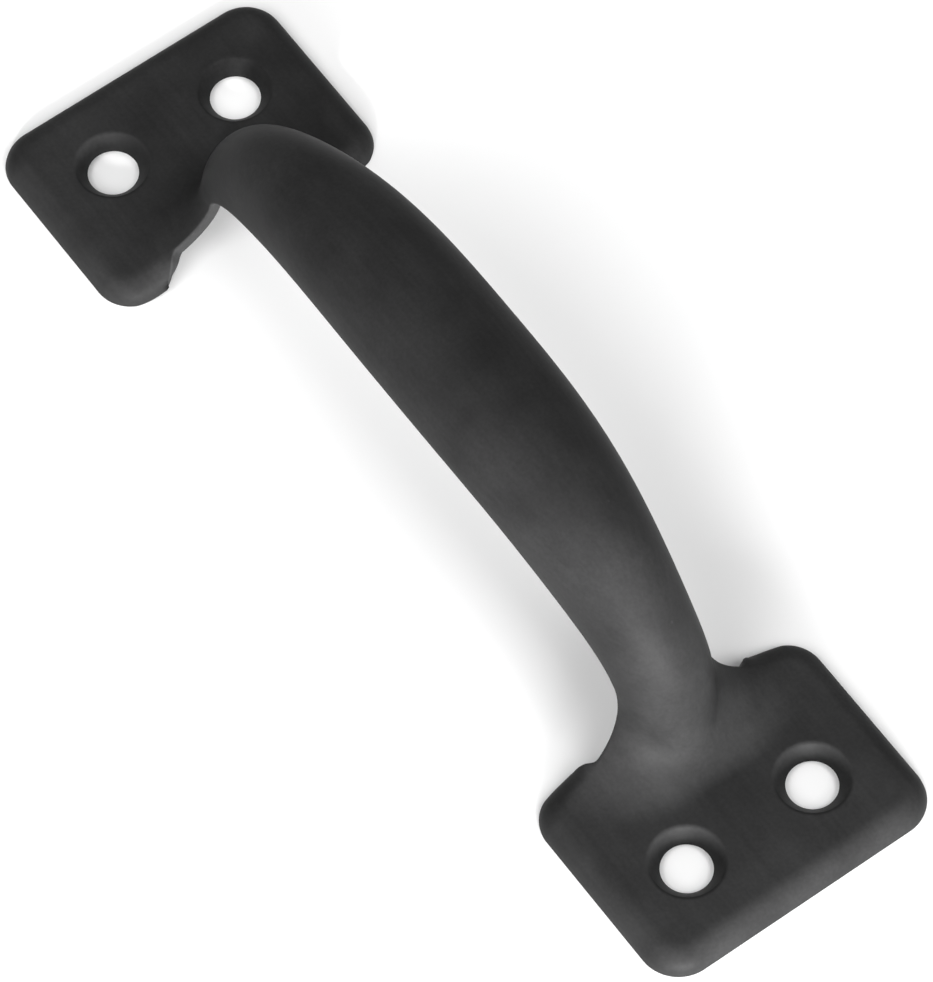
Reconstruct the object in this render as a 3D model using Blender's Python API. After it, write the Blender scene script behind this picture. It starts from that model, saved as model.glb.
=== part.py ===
"""A sash lift handle, pressed from one piece of steel sheet.

A half-round bow grip rises between two screw plates. Each plate has two countersunk holes side
by side, and its rim is rolled down until the sheet's cut edge stands on the sash. One quarter of
the sheet is made from two patches, the grip down to the foot of its neck and the plate with the
foot's fillet, and is mirrored along and across the handle.

The origin is at the middle of the mounting plane: X runs along the handle, Y across it, and Z
points away from the sash.
"""

import math

import bmesh
import bpy
import numpy as np
from mathutils import Vector
from mathutils.geometry import delaunay_2d_cdt

MM = 0.001

# Driving dimensions, in millimetres.
OVERALL_LENGTH = 121.0
OVERALL_HEIGHT = 31.4
SHEET = 1.5

# The screw plates.
PLATE_WIDTH = 34.6
PLATE_RISE = 2.6  # a plate's top above the sash, which is also the radius of its rolled rim
PLATE_INNER_EDGE = 35.7  # from the middle of the handle
OUTER_CORNER = 4.4
INNER_CORNER = 4.2

# The screw holes.
HOLE_SPACING_ALONG = 101.6
HOLE_SPACING_ACROSS = 15.8
HOLE_RADIUS = 2.6
SINK_RADIUS = 4.0
SINK_DEPTH = 1.8  # deeper than the sheet: coining the countersink leaves a low boss underneath
BOSS_RADIUS = 3.3

# The grip's half-round section, at the middle and at the necks. It is deepest between the two.
MIDDLE_HALF_WIDTH = 7.75
MIDDLE_DEPTH = 6.5
NECK_RADIUS = 5.4
WIDTH_POWER = 1.46
DEPTH_POWER = 1.8
DEPTH_BULGE = 1.6

# The bow. Its slope grows with a power of the distance from the middle, up to the neck's slope.
NECK_SLOPE = math.radians(76.4)
SLOPE_POWER = 1.97
FOOT_X = 37.55  # the centre of the round foot of each neck
FRONT_FILLET = 3.8  # between the neck and the plate, in front of the neck
SIDE_FILLET = 9.5  # and beside it

# The notch beside each neck, a step in the plate's inner edge.
STEP_Y = 11.7
STEP_LENGTH = 1.8
ROLL_END_Y = 11.5  # the rolled rim fades out here, beside the notch
ROLL_END_LENGTH = 2.0

# Mesh detail.
GRIP_ROWS = 34
AROUND_STEPS = 8
FILLET_STEPS = 6
SPACING = 1.9
LEAST_GAP = 0.6 * SPACING
HOLE_SIDES = 24
ROLL_STEPS = 4
CORNER_STEPS = 6
STEP_STEPS = 5
CURVE_SAMPLES = 2000

HALF_LENGTH = OVERALL_LENGTH / 2
HALF_WIDTH = PLATE_WIDTH / 2
CREST_RISE = OVERALL_HEIGHT - PLATE_RISE
QUARTER_TURN = math.pi / 2
HOLE_CENTRE = (HOLE_SPACING_ALONG / 2, HOLE_SPACING_ACROSS / 2)

# Tolerances, in millimetres but for the last, which is in metres.
ON_PLANE = 1e-3
SEAM_GAP = 0.01
SMALL_STEP = 0.01
WELD = 1e-4
MERGE_DISTANCE = 1e-6

COATING_COLOUR = (0.022, 0.022, 0.023, 1)
COATING_ROUGHNESS = 0.45
SHARP_ANGLE = math.radians(35)


def clear_scene():
    for obj in list(bpy.data.objects):
        bpy.data.objects.remove(obj, do_unlink=True)


def smoothstep(t):
    t = np.clip(t, 0, 1)
    return t * t * (3 - 2 * t)


def crest_line():
    """The line along the top of the grip, as tables of length, x, rise above the plate and slope.

    The bow's slope grows until it is the neck's, and a straight neck follows. Their lengths are
    whatever makes the crest start at CREST_RISE and meet the plate in front of the round foot.
    """
    t = np.linspace(0, 1, CURVE_SAMPLES)
    middles = NECK_SLOPE * ((t[1:] + t[:-1]) / 2) ** SLOPE_POWER
    bow_x = np.append(0, np.cumsum(np.cos(middles)) * t[1])
    bow_drop = np.append(0, np.cumsum(np.sin(middles)) * t[1])
    neck_x = FOOT_X + NECK_RADIUS
    ends = [[bow_x[-1], math.cos(NECK_SLOPE)], [bow_drop[-1], math.sin(NECK_SLOPE)]]
    bow, straight = np.linalg.solve(ends, (neck_x, CREST_RISE))
    length = np.append(bow * t, bow + straight)
    x = np.append(bow * bow_x, neck_x)
    rise = np.append(CREST_RISE - bow * bow_drop, 0)
    slope = NECK_SLOPE * np.append(t, 1) ** SLOPE_POWER
    return length, x, rise, slope


CREST = crest_line()
BOW_LENGTH, NECK_END = CREST[0][-2:]


def grip(length, angle):
    """Points of the grip's outer face, at a length along the crest and an angle round the section.

    The sections lean over as the bow slopes, and are level along the neck.
    """
    x, rise, slope = (np.interp(length, CREST[0], column) for column in CREST[1:])
    share = np.clip(length / BOW_LENGTH, 0, 1)
    to_neck = smoothstep(share)
    bulge = DEPTH_BULGE * (4 * share**2 * (1 - share**2)) ** 2
    half_width = MIDDLE_HALF_WIDTH + (NECK_RADIUS - MIDDLE_HALF_WIDTH) * to_neck**WIDTH_POWER
    depth = MIDDLE_DEPTH + (NECK_RADIUS - MIDDLE_DEPTH) * to_neck**DEPTH_POWER + bulge
    lean = slope * QUARTER_TURN / NECK_SLOPE
    drop = depth * (1 - np.cos(angle))
    return np.array([x - drop * np.sin(lean), half_width * np.sin(angle), rise - drop * np.cos(lean)])


def fillet_at(angle):
    """The foot's fillet: its radius, its turn, and how far it reaches along the plate and the neck."""
    radius = FRONT_FILLET + (SIDE_FILLET - FRONT_FILLET) * np.sin(angle) ** 2
    turn = np.arccos(math.cos(NECK_SLOPE) * np.cos(angle))
    return radius, turn, radius * np.tan(turn / 2)


def foot(x, y):
    """Points of the outer face over a point of the plate: on the foot's fillet, or just the plate."""
    beyond = np.maximum(x - FOOT_X, 0)
    angle = np.arctan2(y, beyond)
    distance = np.hypot(beyond, y) - NECK_RADIUS
    radius, turn, reach = fillet_at(angle)
    turned = turn * (1 - np.clip(distance / reach, 0, 1))
    flat = np.zeros_like(x)
    outward = np.array([np.cos(angle), np.sin(angle), flat])
    along_neck = np.array([flat - math.cos(NECK_SLOPE), flat, flat + math.sin(NECK_SLOPE)])
    upward = along_neck - outward * (along_neck * outward).sum(axis=0)
    upward = upward / np.linalg.norm(upward, axis=0)
    from_corner = outward * (reach - radius * np.sin(turned)) + upward * radius * (1 - np.cos(turned))
    corner = np.array([x - beyond + NECK_RADIUS * np.cos(angle), NECK_RADIUS * np.sin(angle), flat])
    return np.where(distance < reach, corner + from_corner, [x, y, flat])


def corner_distance(a, b, radius):
    """Distance in from two edges at right angles that meet in a rounded corner."""
    near = (a < radius) & (b < radius)
    rounded = radius - np.hypot(radius - a, radius - b)
    return np.where(near, rounded, np.minimum(a, b))


def rim_distance(x, y):
    """Distance in from the plate's rim. Beside the notch the inner rim is let go of smoothly."""
    end, side = HALF_LENGTH - x, HALF_WIDTH - y
    let_go = PLATE_RISE * smoothstep((ROLL_END_Y - y) / ROLL_END_LENGTH + 0.5)
    inner = np.maximum(x - PLATE_INNER_EDGE, 0) + let_go
    outer_distance = corner_distance(end, side, OUTER_CORNER)
    return np.minimum(outer_distance, corner_distance(inner, side, INNER_CORNER))


def face_normals(surface, a, b):
    """The normals of surface(a, b), found from points a small step away on either side."""
    along = surface(a + SMALL_STEP, b) - surface(a - SMALL_STEP, b)
    across = surface(a, b + SMALL_STEP) - surface(a, b - SMALL_STEP)
    normal = np.cross(along, across, axis=0)
    return normal / np.linalg.norm(normal, axis=0)


def rolled_foot(x, y):
    """Points and normals of the plate and the foot, with the plate's rim rolled down."""
    distance = rim_distance(x, y)
    distance = np.where(distance < ON_PLANE, 0, distance)
    sine = np.clip(1 - distance / PLATE_RISE, 0, 1)
    cosine = np.sqrt(1 - sine**2)
    points = foot(x, y)
    points[2] += PLATE_RISE * cosine
    slope_x = rim_distance(x + SMALL_STEP, y) - rim_distance(x - SMALL_STEP, y)
    slope_y = rim_distance(x, y + SMALL_STEP) - rim_distance(x, y - SMALL_STEP)
    outward = -np.array([slope_x, slope_y, np.zeros_like(x)]) / (2 * SMALL_STEP)
    normals = cosine * face_normals(foot, x, y) + sine * outward
    return points.T, (normals / np.linalg.norm(normals, axis=0)).T


def arc(centre, radius, start, turn, count):
    angles = start + turn * np.linspace(0, 1, count + 1)
    return [(centre[0] + radius * math.cos(a), centre[1] + radius * math.sin(a)) for a in angles]


def filled(points):
    """The same open outline with more points, so that none lies over SPACING from the next."""
    result = [points[0]]
    for here, there in zip(points[:-1], points[1:]):
        count = max(1, round(math.dist(here, there) / SPACING))
        result += [tuple(np.add(here, np.subtract(there, here) * i / count)) for i in range(1, count + 1)]
    return result


def plate_rim(inset, start_y):
    """The rim from start_y on the inner edge round both corners to the middle of the outer end."""
    inner_centre = (PLATE_INNER_EDGE + INNER_CORNER, HALF_WIDTH - INNER_CORNER)
    outer_centre = (HALF_LENGTH - OUTER_CORNER, HALF_WIDTH - OUTER_CORNER)
    points = [(PLATE_INNER_EDGE + inset, start_y)]
    points += arc(inner_centre, INNER_CORNER - inset, math.pi, -QUARTER_TURN, CORNER_STEPS)
    points += arc(outer_centre, OUTER_CORNER - inset, QUARTER_TURN, -QUARTER_TURN, CORNER_STEPS)
    points += [(HALF_LENGTH - inset, 0)]
    return filled(points)


def roll_lines():
    """Lines along the rolled rim, spaced evenly round its curve."""
    start = ROLL_END_Y + ROLL_END_LENGTH / 2
    angles = QUARTER_TURN * np.arange(1, ROLL_STEPS + 1) / ROLL_STEPS
    return [plate_rim(PLATE_RISE * (1 - math.cos(a)), start) for a in angles]


def fillet_rows():
    """Rings of points round the foot, from the end of the neck to the end of the fillet."""
    rows = []
    for step in range(FILLET_STEPS + 1):
        angles = QUARTER_TURN * np.arange(AROUND_STEPS + 1) / AROUND_STEPS
        distance = NECK_RADIUS + fillet_at(angles)[2] * step / FILLET_STEPS
        x = FOOT_X + distance * np.cos(angles)
        y = distance * np.sin(angles)
        x[-1], y[0] = FOOT_X, 0
        rows.append(list(zip(x, y)))
    return rows


def plate_outline(fillet):
    """The plate's outline in plan, counter-clockwise from the front of the neck's end."""
    front = [row[0] for row in fillet]
    step_start = STEP_Y - STEP_LENGTH / 2
    side = [row[-1] for row in fillet if row[-1][1] < step_start - LEAST_GAP / 2]
    t = np.linspace(0, 1, STEP_STEPS + 1)
    step_x = FOOT_X + (PLATE_INNER_EDGE - FOOT_X) * smoothstep(t)
    step = list(zip(step_x, step_start + STEP_LENGTH * t))
    rim = plate_rim(0, step_start + STEP_LENGTH)
    end_line = filled([front[-1], (HALF_LENGTH, 0)])
    return front[:-1] + end_line[:-1] + rim[:0:-1] + step[::-1] + side[:0:-1] + fillet[0][:0:-1]


def hole_outline():
    return arc(HOLE_CENTRE, SINK_RADIUS, 0, 2 * math.pi, HOLE_SIDES)[:-1]


def inside(points, outline):
    """Which points lie inside a closed outline: an odd number of its edges lie to their right."""
    here = np.array(outline)
    there = np.roll(here, -1, axis=0)
    run, rise = (there - here).T
    above = points[:, 1:] - here[:, 1]
    spans = (above >= 0) != (points[:, 1:] >= there[:, 1])
    edge_at = here[:, 0] + above * run / np.where(rise == 0, 1, rise)
    return (spans & (points[:, :1] < edge_at)).sum(axis=1) % 2 == 1


def inner_points(outline, taken):
    """A staggered grid inside the outline, leaving out what is too near a point that is taken."""
    row_height = SPACING * math.sqrt(0.75)
    grid = []
    for row in range(1, int(HALF_WIDTH / row_height) + 1):
        start = PLATE_INNER_EDGE + SPACING / 2 * (row % 2)
        grid += [(x, row * row_height) for x in np.arange(start, HALF_LENGTH, SPACING)]
    grid = np.array(grid)
    gaps = np.hypot(*(grid[:, None] - np.array(taken)).T).min(axis=0)
    return grid[inside(grid, outline) & (gaps > LEAST_GAP)].tolist()


def plate_patch(fillet):
    """The plate and the foot in plan, as points and triangles, with the hole open."""
    outline = plate_outline(fillet)
    hole = hole_outline()
    points, edges = [], []
    for line in [outline + outline[:1], hole + hole[:1], *roll_lines()]:
        edges += [(len(points) + i, len(points) + i + 1) for i in range(len(line) - 1)]
        points += line
    points += [point for row in fillet[1:] for point in row[1:-1]]
    points += inner_points(outline, points)
    vectors = [Vector(point) for point in points]
    found, _, triangles, *_ = delaunay_2d_cdt(vectors, edges, [], 0, WELD, False)
    found, triangles = np.array(found), np.array(triangles)
    centres = found[triangles].mean(axis=1)
    steel = inside(centres, outline) & ~inside(centres, hole)
    used, triangles = np.unique(triangles[steel], return_inverse=True)
    return found[used], triangles.reshape(-1, 3)


def grip_patch():
    """The grip in lengths and angles, as points and triangles. Its last row ends the neck."""
    angles = QUARTER_TURN * np.arange(AROUND_STEPS + 1) / AROUND_STEPS
    shares = np.arange(GRIP_ROWS + 1) / GRIP_ROWS
    lengths = np.outer(shares, NECK_END - fillet_at(angles)[2])
    points = np.stack([lengths.ravel(), np.tile(angles, GRIP_ROWS + 1)], axis=1)
    triangles = []
    for row in range(GRIP_ROWS):
        for column in range(AROUND_STEPS):
            a = row * (AROUND_STEPS + 1) + column
            b = a + AROUND_STEPS + 1
            triangles += [(a, b, b + 1), (a, b + 1, a + 1)]
    return points, np.array(triangles)


def outer_face():
    """Points, normals and triangles of a quarter of the outer face, its two patches joined."""
    fillet = fillet_rows()
    plan, plate_triangles = plate_patch(fillet)
    plate, plate_normals = rolled_foot(*plan.T)
    layout, triangles = grip_patch()
    points = grip(*layout.T).T + (0, 0, PLATE_RISE)
    normals = face_normals(grip, *layout.T).T

    seam = len(points) - 1 - np.arange(AROUND_STEPS + 1)
    gaps = np.linalg.norm(plate[:, None] - points[seam], axis=2)
    shared = gaps.min(axis=1) < SEAM_GAP
    places = np.where(shared, seam[gaps.argmin(axis=1)], len(points) - 1 + np.cumsum(~shared))
    points = np.concatenate([points, plate[~shared]])
    normals = np.concatenate([normals, plate_normals[~shared]])
    triangles = np.concatenate([triangles, places[plate_triangles]])
    for axis in (0, 1):
        normals[np.abs(points[:, axis]) < ON_PLANE, axis] = 0
    return points, normals / np.linalg.norm(normals, axis=1, keepdims=True), triangles.tolist()


def countersink_rings(mesh, points):
    """Where the hole's wall turns between the top of the countersink and the underside."""
    centre = np.array([*HOLE_CENTRE, PLATE_RISE - SINK_DEPTH])
    rings = []
    for radius in (HOLE_RADIUS, BOSS_RADIUS):
        ring = {}
        for index, point in enumerate(points):
            radial = (point - centre) * (1, 1, 0) / SINK_RADIUS
            if np.hypot(*radial[:2]) < 1 + ON_PLANE:
                ring[index] = mesh.verts.new((centre + radial * radius) * MM)
        rings.append(ring)
    return rings


def pressed_quarter():
    """A quarter of the handle, open only on the two planes that it is mirrored in."""
    points, normals, triangles = outer_face()
    mesh = bmesh.new()
    tops = [mesh.verts.new(point * MM) for point in points]
    bottoms = [mesh.verts.new(point * MM) for point in points - SHEET * normals]
    for a, b, c in triangles:
        mesh.faces.new((tops[a], tops[b], tops[c]))
        mesh.faces.new((bottoms[c], bottoms[b], bottoms[a]))

    rings = countersink_rings(mesh, points)
    edges = {(a, b) for t in triangles for a, b in zip(t, t[1:] + t[:1])}
    for a, b in sorted(edges):
        on_mirror_plane = (np.abs(points[[a, b], :2]) < ON_PLANE).all(axis=0).any()
        if (b, a) in edges or on_mirror_plane:
            continue
        levels = [tops, *rings, bottoms] if a in rings[0] else [tops, bottoms]
        for upper, lower in zip(levels[:-1], levels[1:]):
            mesh.faces.new((upper[b], upper[a], lower[a], lower[b]))
    return mesh


def steel_material():
    material = bpy.data.materials.new("satin_black_steel")
    material.use_nodes = True
    shader = material.node_tree.nodes["Principled BSDF"]
    shader.inputs["Base Color"].default_value = COATING_COLOUR
    shader.inputs["Metallic"].default_value = 0.0
    shader.inputs["Roughness"].default_value = COATING_ROUGHNESS
    return material


def pressed_handle():
    data = bpy.data.meshes.new("pressed_handle")
    quarter = pressed_quarter()
    quarter.to_mesh(data)
    quarter.free()
    data.materials.append(steel_material())
    data.shade_smooth()
    data.set_sharp_from_angle(angle=SHARP_ANGLE)
    obj = bpy.data.objects.new("pressed_handle", data)
    bpy.context.scene.collection.objects.link(obj)
    mirror = obj.modifiers.new("both_halves_and_sides", "MIRROR")
    mirror.use_axis = (True, True, False)
    mirror.merge_threshold = MERGE_DISTANCE
    return obj


clear_scene()
pressed_handle()
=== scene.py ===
"""The looks of a sash lift handle: its pressed sheet in full detail, its coating and a plain studio.

A quarter of the sheet is made from two patches, the grip down to the foot of its neck and the
plate with the foot's fillet, and is mirrored along and across the handle. Lengths are in
millimetres until a mesh is made.
"""

import math

import bpy
import numpy as np
from mathutils import Matrix, Vector
from mathutils.geometry import delaunay_2d_cdt


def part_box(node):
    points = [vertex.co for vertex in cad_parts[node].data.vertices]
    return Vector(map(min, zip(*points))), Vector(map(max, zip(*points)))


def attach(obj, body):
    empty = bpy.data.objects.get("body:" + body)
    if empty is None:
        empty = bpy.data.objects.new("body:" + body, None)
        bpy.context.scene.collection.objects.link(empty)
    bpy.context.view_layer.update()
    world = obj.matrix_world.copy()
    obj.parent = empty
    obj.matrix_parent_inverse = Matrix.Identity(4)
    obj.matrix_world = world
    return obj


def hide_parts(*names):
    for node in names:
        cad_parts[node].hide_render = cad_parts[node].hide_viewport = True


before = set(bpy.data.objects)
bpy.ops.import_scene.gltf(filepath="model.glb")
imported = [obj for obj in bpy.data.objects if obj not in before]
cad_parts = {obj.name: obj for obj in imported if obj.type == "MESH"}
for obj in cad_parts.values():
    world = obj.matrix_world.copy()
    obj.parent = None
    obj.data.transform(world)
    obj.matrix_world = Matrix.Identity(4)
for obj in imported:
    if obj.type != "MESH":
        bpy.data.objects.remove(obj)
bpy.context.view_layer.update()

MM = 0.001
NODE = "pressed_handle"
QUARTER_TURN = math.pi / 2

# The overall sizes, from the CAD model.
LOWEST, HIGHEST = (np.array(corner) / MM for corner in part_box(NODE))
HALF_LENGTH = (HIGHEST[0] - LOWEST[0]) / 2
HALF_WIDTH = (HIGHEST[1] - LOWEST[1]) / 2
OVERALL_HEIGHT = HIGHEST[2]

# The sheet.
SHEET = 1.5
EDGE_RADIUS = 0.3  # the coating rounds the sheet's cut edges

# The screw plates.
PLATE_RISE = 2.6  # a plate's top above the sash, which is also the radius of its rolled rim
PLATE_INNER_EDGE = 35.7
OUTER_CORNER = 4.4
INNER_CORNER = 4.2
CREST_RISE = OVERALL_HEIGHT - PLATE_RISE

# The countersunk holes.
HOLE_CENTRE = (50.8, 7.9)
HOLE_RADIUS = 2.6
SINK_RADIUS = 4.0
SINK_LIP = 4.35  # where the plate starts to turn into the countersink
SINK_DEPTH = 1.8
BOSS_RADIUS = 3.3
HOLE_ROUNDING = (0.5, 0.12, 0.2)  # of the countersink's lip, the hole's edge and the boss

# The grip's half-round section, at the middle and at the necks. It is deepest between the two.
MIDDLE_HALF_WIDTH = 7.75
MIDDLE_DEPTH = 6.5
NECK_RADIUS = 5.4
WIDTH_POWER = 1.46
DEPTH_POWER = 1.8
DEPTH_BULGE = 1.6

# The bow. Its slope grows with a power of the distance from the middle, up to the neck's slope.
NECK_SLOPE = math.radians(76.4)
SLOPE_POWER = 1.97
FOOT_X = 37.55  # the centre of the round foot of each neck
FRONT_FILLET = 3.8  # between the neck and the plate, in front of the neck
SIDE_FILLET = 9.5  # and beside it

# The notch beside each neck, a step in the plate's inner edge.
STEP_Y = 11.7
STEP_LENGTH = 1.8
ROLL_END_Y = 11.5  # the rolled rim fades out here, beside the notch
ROLL_END_LENGTH = 2.0

# Mesh detail.
GRIP_ROWS = 150
AROUND_STEPS = 30
EDGE_ROOM = 0.55  # a strip along the cut edge that is kept clear for its rounding
FILLET_STEPS = 22
SPACING = 0.6  # between the plate's points
LEAST_GAP = 0.5 * SPACING
HOLE_SIDES = 64
ROLL_STEPS = 10
CORNER_STEPS = 24
STEP_STEPS = 12
EDGE_STEPS = 5
CURVE_SAMPLES = 4000
SMALL_STEP = 0.01  # for slopes and normals
WELD = 1e-4  # plan points nearer than this are one
NEARLY_ZERO = 1e-3
SEAM_GAP = 0.01  # the widest gap between two points that the patches share
MERGE_DISTANCE = 1e-6  # between mirrored halves, in metres

# The satin black coating. Scales are in features per metre, and shades are factors of its colour.
COATING_COLOUR = (0.0208, 0.0208, 0.021)
COATING_SHEEN = 0.06
NOISE_SPAN = (0.3, 0.7)  # a noise texture's usual values
MOTTLE_SCALE = 150
MOTTLE_SHADES = (0.83, 1.17)
MOTTLE_ROUGHNESS = (0.48, 0.58)
GRAIN_SCALE = 2600
GRAIN_SHADES = (0.92, 1.08)
STREAK_STRETCH = (60, 1500, 1500)  # the forming streaks run along the handle
STREAK_SHADES = (0.94, 1.06)
SPECK_SCALE = 420
SPECK_SPAN = (0.05, 0.09)  # from a speck's full strength to its edge, in cells
SPECK_CLUSTER_SCALE = 90
SPECK_CLUSTER_SPAN = (0.6, 0.7)
SPECK_SHADE = 0.5
# A painted highlight: how much paler the coating is made along the cut edges.
CUT_EDGE_PAINTED_HIGHLIGHT = 0.5
PEEL_SCALE = 1100
PEEL_DEPTH = 0.00002
PEEL_STRENGTH = 0.5
STREAK_RELIEF = 0.35

FLOOR_SIZE = 4.0
FLOOR_COLOUR = (0.9, 0.9, 0.9, 1)
FLOOR_ROUGHNESS = 0.9

# The camera, at the photograph's viewing angle. It is aimed a little beside the middle of the handle.
AZIMUTH = math.radians(55.76)
ELEVATION = math.radians(61.05)
ROLL = math.radians(-1.86)
DISTANCE = 717.0
AIM_RIGHT = 1.28
AIM_UP = -1.6
LENS = 253.8

# The light. Sizes and distances are in metres, directions and spreads in degrees, powers in watts.
ROOM_LIGHT = 0.36
HIGH_BOX_SIZE = 0.5
HIGH_BOX_ELEVATION = 52
HIGH_BOX_DISTANCE = 1.0
NARROW_LAMP_RADIUS = 0.03


def smoothstep(t):
    t = np.clip(t, 0, 1)
    return t * t * (3 - 2 * t)


# The pressing's shape.


def crest_line():
    """The line along the top of the grip, as tables of length, x, rise above the plate and slope.

    The bow's slope grows until it is the neck's, and a straight neck follows. Their lengths are
    whatever makes the crest start at CREST_RISE and meet the plate in front of the round foot.
    """
    t = np.linspace(0, 1, CURVE_SAMPLES)
    middles = NECK_SLOPE * ((t[1:] + t[:-1]) / 2) ** SLOPE_POWER
    bow_x = np.append(0, np.cumsum(np.cos(middles)) * t[1])
    bow_drop = np.append(0, np.cumsum(np.sin(middles)) * t[1])
    neck_x = FOOT_X + NECK_RADIUS
    ends = [[bow_x[-1], math.cos(NECK_SLOPE)], [bow_drop[-1], math.sin(NECK_SLOPE)]]
    bow, straight = np.linalg.solve(ends, (neck_x, CREST_RISE))
    length = np.append(bow * t, bow + straight)
    x = np.append(bow * bow_x, neck_x)
    rise = np.append(CREST_RISE - bow * bow_drop, 0)
    slope = NECK_SLOPE * np.append(t, 1) ** SLOPE_POWER
    return length, x, rise, slope


CREST = crest_line()
BOW_LENGTH, NECK_END = CREST[0][-2:]


def grip(length, angle):
    """Points of the grip's outer face, at a length along the crest and an angle round the section.

    The sections lean over as the bow slopes, and are level along the neck.
    """
    x, rise, slope = (np.interp(length, CREST[0], column) for column in CREST[1:])
    share = np.clip(length / BOW_LENGTH, 0, 1)
    to_neck = smoothstep(share)
    hump = (4 * share**2 * (1 - share**2)) ** 2  # 0 at the middle and at the neck, and up to 1 between
    half_width = MIDDLE_HALF_WIDTH + (NECK_RADIUS - MIDDLE_HALF_WIDTH) * to_neck**WIDTH_POWER
    depth = MIDDLE_DEPTH + (NECK_RADIUS - MIDDLE_DEPTH) * to_neck**DEPTH_POWER + DEPTH_BULGE * hump
    lean = slope * QUARTER_TURN / NECK_SLOPE
    drop = depth * (1 - np.cos(angle))
    return np.array([x - drop * np.sin(lean), half_width * np.sin(angle), rise - drop * np.cos(lean)])


def fillet_at(angle):
    """The foot's fillet: its radius, its turn, and how far it reaches along the plate and the neck."""
    radius = FRONT_FILLET + (SIDE_FILLET - FRONT_FILLET) * np.sin(angle) ** 2
    turn = np.arccos(math.cos(NECK_SLOPE) * np.cos(angle))
    return radius, turn, radius * np.tan(turn / 2)


def foot(x, y):
    """Points of the outer face over a point of the plate: on the foot's fillet, or just the plate."""
    beyond = np.maximum(x - FOOT_X, 0)
    angle = np.arctan2(y, beyond)
    distance = np.hypot(beyond, y) - NECK_RADIUS
    radius, turn, reach = fillet_at(angle)
    turned = turn * (1 - np.clip(distance / reach, 0, 1))
    flat = np.zeros_like(x)
    outward = np.array([np.cos(angle), np.sin(angle), flat])
    along_neck = np.array([flat - math.cos(NECK_SLOPE), flat, flat + math.sin(NECK_SLOPE)])
    upward = along_neck - outward * (along_neck * outward).sum(axis=0)
    upward = upward / np.linalg.norm(upward, axis=0)
    from_corner = outward * (reach - radius * np.sin(turned)) + upward * radius * (1 - np.cos(turned))
    corner = np.array([x - beyond + NECK_RADIUS * np.cos(angle), NECK_RADIUS * np.sin(angle), flat])
    return np.where(distance < reach, corner + from_corner, [x, y, flat])


def corner_distance(a, b, radius):
    """Distance in from two edges at right angles that meet in a rounded corner."""
    near = (a < radius) & (b < radius)
    rounded = radius - np.hypot(radius - a, radius - b)
    return np.where(near, rounded, np.minimum(a, b))


def rim_distance(x, y):
    """Distance in from the plate's rim. Beside the notch the inner rim is let go of smoothly."""
    end, side = HALF_LENGTH - x, HALF_WIDTH - y
    let_go = PLATE_RISE * smoothstep((ROLL_END_Y - y) / ROLL_END_LENGTH + 0.5)
    inner = np.maximum(x - PLATE_INNER_EDGE, 0) + let_go
    outer_distance = corner_distance(end, side, OUTER_CORNER)
    return np.minimum(outer_distance, corner_distance(inner, side, INNER_CORNER))


def face_normals(surface, a, b):
    """The normals of surface(a, b), found from points a small step away on either side."""
    along = surface(a + SMALL_STEP, b) - surface(a - SMALL_STEP, b)
    across = surface(a, b + SMALL_STEP) - surface(a, b - SMALL_STEP)
    normal = np.cross(along, across, axis=0)
    return normal / np.linalg.norm(normal, axis=0)


def rolled_foot(x, y):
    """Points and normals of the plate and the foot, with the plate's rim rolled down."""
    distance = rim_distance(x, y)
    distance = np.where(distance < NEARLY_ZERO, 0, distance)
    sine = np.clip(1 - distance / PLATE_RISE, 0, 1)
    cosine = np.sqrt(1 - sine**2)
    points = foot(x, y)
    points[2] += PLATE_RISE * cosine
    slope_x = rim_distance(x + SMALL_STEP, y) - rim_distance(x - SMALL_STEP, y)
    slope_y = rim_distance(x, y + SMALL_STEP) - rim_distance(x, y - SMALL_STEP)
    outward = -np.array([slope_x, slope_y, np.zeros_like(x)]) / (2 * SMALL_STEP)
    normals = cosine * face_normals(foot, x, y) + sine * outward
    return points.T, (normals / np.linalg.norm(normals, axis=0)).T


def arc(centre, radius, start, turn, count):
    """Points along an arc, in plan, with both of its ends."""
    angles = start + turn * np.linspace(0, 1, count + 1)
    return [(centre[0] + radius * math.cos(a), centre[1] + radius * math.sin(a)) for a in angles]


# The outlines in plan, and the two patches.


def filled(points):
    """The same open outline with more points, so that none lies over SPACING from the next."""
    result = [points[0]]
    for here, there in zip(points[:-1], points[1:]):
        count = max(1, round(math.dist(here, there) / SPACING))
        result += [tuple(np.add(here, np.subtract(there, here) * i / count)) for i in range(1, count + 1)]
    return result


def plate_rim(inset, start_y):
    """The rim from start_y on the inner edge round both corners to the middle of the outer end."""
    inner_centre = (PLATE_INNER_EDGE + INNER_CORNER, HALF_WIDTH - INNER_CORNER)
    outer_centre = (HALF_LENGTH - OUTER_CORNER, HALF_WIDTH - OUTER_CORNER)
    points = [(PLATE_INNER_EDGE + inset, start_y)]
    points += arc(inner_centre, INNER_CORNER - inset, math.pi, -QUARTER_TURN, CORNER_STEPS)
    points += arc(outer_centre, OUTER_CORNER - inset, QUARTER_TURN, -QUARTER_TURN, CORNER_STEPS)
    points += [(HALF_LENGTH - inset, 0)]
    return filled(points)


def roll_lines():
    """Lines along the rolled rim, spaced evenly round its curve."""
    start = ROLL_END_Y + ROLL_END_LENGTH / 2
    angles = QUARTER_TURN * np.arange(1, ROLL_STEPS + 1) / ROLL_STEPS
    return [plate_rim(PLATE_RISE * (1 - math.cos(a)), start) for a in angles]


def around_angles():
    """Angles round the neck. The last gap leaves room for the rounded cut edge."""
    inner = np.linspace(0, QUARTER_TURN - EDGE_ROOM / NECK_RADIUS, AROUND_STEPS)
    return np.append(inner, QUARTER_TURN)


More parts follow.
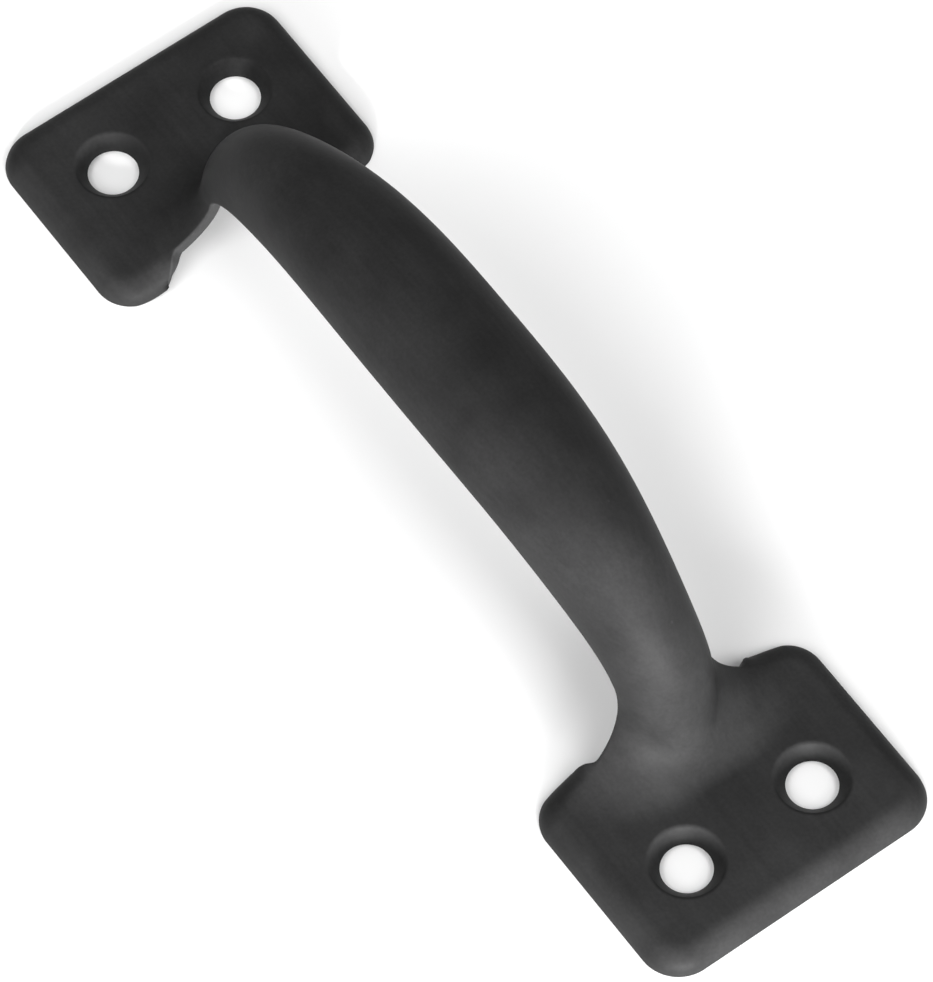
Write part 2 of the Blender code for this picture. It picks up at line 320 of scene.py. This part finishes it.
def fillet_rows():
    """Rings of points round the foot, from the end of the neck to the end of the fillet."""
    rows = []
    for step in range(FILLET_STEPS + 1):
        angles = around_angles()
        distance = NECK_RADIUS + fillet_at(angles)[2] * step / FILLET_STEPS
        x = FOOT_X + distance * np.cos(angles)
        y = distance * np.sin(angles)
        x[-1], y[0] = FOOT_X, 0
        rows.append(list(zip(x, y)))
    return rows


def plate_outline(fillet):
    """The plate's outline in plan, counter-clockwise from the front of the neck's end."""
    front = [row[0] for row in fillet]
    step_start = STEP_Y - STEP_LENGTH / 2
    side = [row[-1] for row in fillet if row[-1][1] < step_start - LEAST_GAP / 2]
    t = np.linspace(0, 1, STEP_STEPS + 1)
    step_x = FOOT_X + (PLATE_INNER_EDGE - FOOT_X) * smoothstep(t)
    step = list(zip(step_x, step_start + STEP_LENGTH * t))
    rim = plate_rim(0, step_start + STEP_LENGTH)
    end_line = filled([front[-1], (HALF_LENGTH, 0)])
    return front[:-1] + end_line[:-1] + rim[:0:-1] + step[::-1] + side[:0:-1] + fillet[0][:0:-1]


def inside(points, outline):
    """Which points lie inside a closed outline: an odd number of its edges lie to their right."""
    here = np.array(outline)
    there = np.roll(here, -1, axis=0)
    run, rise = (there - here).T
    above = points[:, 1:] - here[:, 1]
    spans = (above >= 0) != (points[:, 1:] >= there[:, 1])
    edge_at = here[:, 0] + above * run / np.where(rise == 0, 1, rise)
    return (spans & (points[:, :1] < edge_at)).sum(axis=1) % 2 == 1


def gaps_to(points, others):
    """How far each point is from the nearest of the others."""
    return np.hypot(*(points[:, None] - np.array(others)).T).min(axis=0)


def inner_points(outline, taken):
    """A staggered grid inside the outline, clear of the points that are taken and of the cut edge."""
    row_height = SPACING * math.sqrt(0.75)
    grid = []
    for row in range(1, int(HALF_WIDTH / row_height) + 1):
        start = PLATE_INNER_EDGE + SPACING / 2 * (row % 2)
        grid += [(x, row * row_height) for x in np.arange(start, HALF_LENGTH, SPACING)]
    grid = np.array(grid)
    cut_edge = [point for point in outline if point[1] > 0]
    clear = (gaps_to(grid, taken) > LEAST_GAP) & (gaps_to(grid, cut_edge) > EDGE_ROOM)
    return grid[inside(grid, outline) & clear].tolist()


def plate_patch(fillet):
    """The plate and the foot in plan, as points and triangles, with the hole open."""
    outline = plate_outline(fillet)
    hole = arc(HOLE_CENTRE, SINK_LIP, 0, 2 * math.pi, HOLE_SIDES)[:-1]
    points, edges = [], []
    for line in [outline + outline[:1], hole + hole[:1], *roll_lines()]:
        edges += [(len(points) + i, len(points) + i + 1) for i in range(len(line) - 1)]
        points += line
    points += [point for row in fillet[1:] for point in row[1:-1]]
    points += inner_points(outline, points)
    vectors = [Vector(point) for point in points]
    found, _, triangles, *_ = delaunay_2d_cdt(vectors, edges, [], 0, WELD, False)
    found, triangles = np.array(found), np.array(triangles)
    centres = found[triangles].mean(axis=1)
    steel = inside(centres, outline) & ~inside(centres, hole)
    used, triangles = np.unique(triangles[steel], return_inverse=True)
    return found[used], triangles.reshape(-1, 3)


def grip_patch():
    """The grip in lengths and angles, as points and triangles. Its last row ends the neck."""
    angles = around_angles()
    shares = np.arange(GRIP_ROWS + 1) / GRIP_ROWS
    lengths = np.outer(shares, NECK_END - fillet_at(angles)[2])
    points = np.stack([lengths.ravel(), np.tile(angles, GRIP_ROWS + 1)], axis=1)
    triangles = []
    for row in range(GRIP_ROWS):
        for column in range(AROUND_STEPS):
            a = row * (AROUND_STEPS + 1) + column
            b = a + AROUND_STEPS + 1
            triangles += [(a, b, b + 1), (a, b + 1, a + 1)]
    return points, np.array(triangles)


def outer_face():
    """Points, normals and triangles of a quarter of the outer face, its two patches joined."""
    fillet = fillet_rows()
    plan, plate_triangles = plate_patch(fillet)
    plate, plate_normals = rolled_foot(*plan.T)
    layout, triangles = grip_patch()
    points = grip(*layout.T).T + (0, 0, PLATE_RISE)
    normals = face_normals(grip, *layout.T).T

    seam = len(points) - 1 - np.arange(AROUND_STEPS + 1)
    gaps = np.linalg.norm(plate[:, None] - points[seam], axis=2)
    shared = gaps.min(axis=1) < SEAM_GAP
    places = np.where(shared, seam[gaps.argmin(axis=1)], len(points) - 1 + np.cumsum(~shared))
    points = np.concatenate([points, plate[~shared]])
    normals = np.concatenate([normals, plate_normals[~shared]])
    triangles = np.concatenate([triangles, places[plate_triangles]])
    for axis in (0, 1):
        normals[np.abs(points[:, axis]) < NEARLY_ZERO, axis] = 0
    return points, normals / np.linalg.norm(normals, axis=1, keepdims=True), triangles.tolist()


# The solid sheet.


def rounded(corners, radii):
    """A profile through corners, each but the first and last rounded off with its radius."""
    profile = [np.array(corners[0], float)]
    for before, corner, after, radius in zip(corners, corners[1:], corners[2:], radii):
        corner = np.array(corner, float)
        back, on = np.subtract(before, corner), np.subtract(after, corner)
        back, on = back / np.hypot(*back), on / np.hypot(*on)
        half_angle = math.acos(np.clip(back @ on, -1, 1)) / 2
        middle = (back + on) / np.hypot(*(back + on))
        centre = corner + middle * radius / math.sin(half_angle)
        start = corner + back * radius / math.tan(half_angle) - centre
        end = corner + on * radius / math.tan(half_angle) - centre
        turn = math.atan2(start[0] * end[1] - start[1] * end[0], start @ end)
        for i in range(EDGE_STEPS + 1):
            sine, cosine = math.sin(turn * i / EDGE_STEPS), math.cos(turn * i / EDGE_STEPS)
            spoke = (start[0] * cosine - start[1] * sine, start[0] * sine + start[1] * cosine)
            profile.append(centre + spoke)
    return profile + [np.array(corners[-1], float)]


def edge_profile():
    """The cut edge, as (outwards, down) from the sheet's ideal corner, without the flat faces' ends."""
    corners = [(-EDGE_RADIUS, 0), (0, 0), (0, SHEET), (-EDGE_RADIUS, SHEET)]
    return rounded(corners, [EDGE_RADIUS, EDGE_RADIUS])[1:-1]


def hole_profile():
    """The hole's wall, as (towards its middle, down) from the lip of the countersink."""
    corners = [(SINK_LIP, 0), (SINK_RADIUS, 0), (HOLE_RADIUS, SINK_DEPTH)]
    corners += [(BOSS_RADIUS, SINK_DEPTH), (SINK_LIP, SHEET)]
    return rounded([(SINK_LIP - radius, depth) for radius, depth in corners], HOLE_ROUNDING)


def outwards(points, normals, following):
    """At each point of a cut edge, the direction that leaves the steel within the sheet."""
    leading = {there: here for here, there in following.items()}
    result = {}
    for index in {*following, *leading}:
        ahead = points[following.get(index, index)]
        behind = points[leading.get(index, index)]
        direction = np.cross(ahead - behind, normals[index])
        direction[:2] *= np.abs(points[index][:2]) > NEARLY_ZERO
        result[index] = direction / np.linalg.norm(direction)
    return result


def cut_line(points, triangles):
    """Each point of the outer face's open edges with its following point, but for the mirror planes."""
    edges = {(a, b) for t in triangles for a, b in zip(t, t[1:] + t[:1])}
    following = {}
    for a, b in edges:
        on_mirror_plane = (np.abs(points[[a, b], :2]) < NEARLY_ZERO).all(axis=0).any()
        if (b, a) not in edges and not on_mirror_plane:
            following[a] = b
    return following


def sheet_quarter():
    """Points, faces and the share of cut edge at each point, for a quarter of the pressing.

    The outer face's points come first, then the inner face's, and then those across the thickness.
    """
    points, normals, triangles = outer_face()
    count = len(points)
    following = cut_line(points, triangles)

    all_points = [*points, *(points - SHEET * normals)]
    cut_shares = [0.0] * (2 * count)
    rings = {}
    for index, away in outwards(points, normals, following).items():
        is_hole = math.dist(points[index][:2], HOLE_CENTRE) < SINK_LIP + NEARLY_ZERO
        profile = hole_profile() if is_hole else edge_profile()
        places = [points[index] + out * away - down * normals[index] for out, down in profile]
        all_points[index], all_points[count + index] = places[0], places[-1]
        rings[index] = [index, *range(len(all_points), len(all_points) + len(places) - 2), count + index]
        all_points += places[1:-1]
        cut_shares += [0.0 if is_hole else 1.0] * (len(places) - 2)

    faces = [*triangles, *([c + count, b + count, a + count] for a, b, c in triangles)]
    for a, b in following.items():
        for k in range(len(rings[a]) - 1):
            faces.append((rings[b][k], rings[a][k], rings[a][k + 1], rings[b][k + 1]))
    return np.array(all_points), faces, cut_shares


def pressed_sheet():
    """The whole pressing: a quarter of it, mirrored along and across the handle."""
    points, faces, cut_shares = sheet_quarter()
    mesh = bpy.data.meshes.new("pressed_sheet")
    mesh.from_pydata((points * MM).tolist(), [], faces)
    mesh.attributes.new("cut_edge", "FLOAT", "POINT").data.foreach_set("value", cut_shares)
    mesh.shade_smooth()
    piece = bpy.data.objects.new("pressed_sheet", mesh)
    bpy.context.scene.collection.objects.link(piece)
    mirror = piece.modifiers.new("both_halves_and_sides", "MIRROR")
    mirror.use_axis = (True, True, False)
    mirror.merge_threshold = MERGE_DISTANCE
    return piece


# Materials.


def node(tree, kind, inputs=(), **settings):
    """A new shader node. An input is a plain value or the output socket that feeds it."""
    made = tree.nodes.new(kind)
    for name, value in settings.items():
        setattr(made, name, value)
    for name, value in dict(inputs).items():
        if isinstance(value, bpy.types.NodeSocket):
            tree.links.new(value, made.inputs[name])
        else:
            made.inputs[name].default_value = value
    return made


def noise(tree, place, scale=1.0):
    return node(tree, "ShaderNodeTexNoise", {"Vector": place, "Scale": scale}).outputs["Fac"]


def ranged(tree, value, span, result):
    """A value brought from one span to another, and held within it."""
    inputs = {"Value": value, "From Min": span[0], "From Max": span[1]}
    inputs |= {"To Min": result[0], "To Max": result[1]}
    return node(tree, "ShaderNodeMapRange", inputs).outputs["Result"]


def product(tree, a, b):
    return node(tree, "ShaderNodeMath", {0: a, 1: b}, operation="MULTIPLY").outputs["Value"]


def total(tree, a, b):
    return node(tree, "ShaderNodeMath", {0: a, 1: b}, operation="ADD").outputs["Value"]


def specks(tree, place):
    """Tiny light specks, here and there in clusters."""
    cells = node(tree, "ShaderNodeTexVoronoi", {"Vector": place, "Scale": SPECK_SCALE})
    spots = ranged(tree, cells.outputs["Distance"], SPECK_SPAN, (1, 0))
    clusters = ranged(tree, noise(tree, place, SPECK_CLUSTER_SCALE), SPECK_CLUSTER_SPAN, (0, 1))
    return product(tree, spots, clusters)


def satin_black():
    """A satin black coating: faintly mottled, grained and streaked, with specks and an orange peel.

    It is paler round the sheet's cut edges: a painted highlight standing for the light the edges catch.
    """
    material = bpy.data.materials.new("satin_black_coating")
    material.use_nodes = True
    tree = material.node_tree
    shader = tree.nodes["Principled BSDF"]
    place = node(tree, "ShaderNodeTexCoord").outputs["Object"]
    along = node(tree, "ShaderNodeMapping", {"Vector": place, "Scale": STREAK_STRETCH})
    mottle = noise(tree, place, MOTTLE_SCALE)
    streaks = noise(tree, along.outputs["Vector"])

    shade = ranged(tree, mottle, NOISE_SPAN, MOTTLE_SHADES)
    grain = noise(tree, place, GRAIN_SCALE)
    shade = product(tree, shade, ranged(tree, grain, NOISE_SPAN, GRAIN_SHADES))
    shade = product(tree, shade, ranged(tree, streaks, NOISE_SPAN, STREAK_SHADES))
    shade = total(tree, shade, product(tree, specks(tree, place), SPECK_SHADE))
    cut_edge = node(tree, "ShaderNodeAttribute", attribute_name="cut_edge").outputs["Fac"]
    # Painted highlight: the cut edges are made paler, standing for the light they catch.
    shade = total(tree, shade, product(tree, cut_edge, CUT_EDGE_PAINTED_HIGHLIGHT))
    scaled = {"Vector": COATING_COLOUR, "Scale": shade}
    colour = node(tree, "ShaderNodeVectorMath", scaled, operation="SCALE").outputs["Vector"]
    tree.links.new(colour, shader.inputs["Base Color"])

    roughness = ranged(tree, mottle, NOISE_SPAN, MOTTLE_ROUGHNESS)
    tree.links.new(roughness, shader.inputs["Roughness"])
    shader.inputs["Specular IOR Level"].default_value = COATING_SHEEN

    height = total(tree, noise(tree, place, PEEL_SCALE), product(tree, streaks, STREAK_RELIEF))
    relief = {"Height": height, "Strength": PEEL_STRENGTH, "Distance": PEEL_DEPTH}
    tree.links.new(node(tree, "ShaderNodeBump", relief).outputs["Normal"], shader.inputs["Normal"])
    return material


def floor_paint():
    material = bpy.data.materials.new("pale_floor")
    material.use_nodes = True
    shader = material.node_tree.nodes["Principled BSDF"]
    shader.inputs["Base Color"].default_value = FLOOR_COLOUR
    shader.inputs["Roughness"].default_value = FLOOR_ROUGHNESS
    return material


# The studio.


def towards(azimuth, elevation):
    """A direction, by its angle from the handle's front round to its right end and its angle upwards."""
    level = math.cos(elevation)
    return Vector((math.sin(azimuth) * level, -math.cos(azimuth) * level, math.sin(elevation)))


def floor():
    bpy.ops.mesh.primitive_plane_add(size=FLOOR_SIZE)
    plane = bpy.context.object
    plane.name = "floor"
    plane.data.materials.append(floor_paint())


def place_lamp(data, target, azimuth, elevation, distance, power):
    """Put a lamp at a distance in metres from its target, in a direction in degrees, facing it."""
    facing = towards(math.radians(azimuth), math.radians(elevation))
    data.energy = power
    lamp = bpy.data.objects.new(data.name, data)
    lamp.location = Vector(target) + facing * distance
    lamp.rotation_euler = facing.to_track_quat("Z", "Y").to_euler()
    bpy.context.scene.collection.objects.link(lamp)


def soft_box(name, width, height, **placing):
    data = bpy.data.lights.new(name, "AREA")
    data.shape = "RECTANGLE"
    data.size = width
    data.size_y = height
    place_lamp(data, **placing)


def narrow_lamp(name, spread, **placing):
    """A lamp whose beam is soft-edged and only as wide as the spread, in degrees."""
    data = bpy.data.lights.new(name, "SPOT")
    data.spot_size = math.radians(spread)
    data.spot_blend = 1.0
    data.shadow_soft_size = NARROW_LAMP_RADIUS
    place_lamp(data, **placing)


def lighting():
    """An even, bright room with two high soft boxes.

    A low soft box models the front of the right neck, and a narrow lamp brings up the left plate.
    """
    world = bpy.data.worlds.new("studio")
    world.use_nodes = True
    background = world.node_tree.nodes["Background"]
    background.inputs["Color"].default_value = (1, 1, 1, 1)
    background.inputs["Strength"].default_value = ROOM_LIGHT
    bpy.context.scene.world = world

    for name, azimuth, power in (("left_high", 15, 5.0), ("right_high", 100, 5.4)):
        soft_box(
            name, width=HIGH_BOX_SIZE, height=HIGH_BOX_SIZE, power=power, target=(0, 0, 0),
            azimuth=azimuth, elevation=HIGH_BOX_ELEVATION, distance=HIGH_BOX_DISTANCE,
        )

    right_neck = (FOOT_X * MM, 0, PLATE_RISE * MM)
    soft_box(
        "neck_low", width=0.18, height=0.04, power=2.0, target=right_neck,
        azimuth=65, elevation=7, distance=0.235,
    )

    left_plate = (-HOLE_CENTRE[0] * MM, -HOLE_CENTRE[1] * MM, 0)
    narrow_lamp(
        "plate_low", spread=6, power=16, target=left_plate,
        azimuth=42, elevation=24, distance=0.5,
    )


def camera():
    """The camera, placed and rolled by its own directions to the right, up and back."""
    back = towards(AZIMUTH, ELEVATION)
    right = Vector((math.cos(AZIMUTH), math.sin(AZIMUTH), 0))
    up = back.cross(right)
    right, up = right * math.cos(ROLL) + up * math.sin(ROLL), up * math.cos(ROLL) - right * math.sin(ROLL)
    data = bpy.data.cameras.new("camera")
    data.lens = LENS
    view = bpy.data.objects.new("camera", data)
    place = (right * AIM_RIGHT + up * AIM_UP + back * DISTANCE) * MM
    view.matrix_world = Matrix.Translation(place) @ Matrix((right, up, back)).transposed().to_4x4()
    bpy.context.scene.collection.objects.link(view)
    bpy.context.scene.camera = view


bpy.context.scene.view_settings.view_transform = "Standard"
camera()
floor()
lighting()

sheet = pressed_sheet()
sheet.data.materials.append(satin_black())
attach(sheet, "root")
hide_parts(NODE)
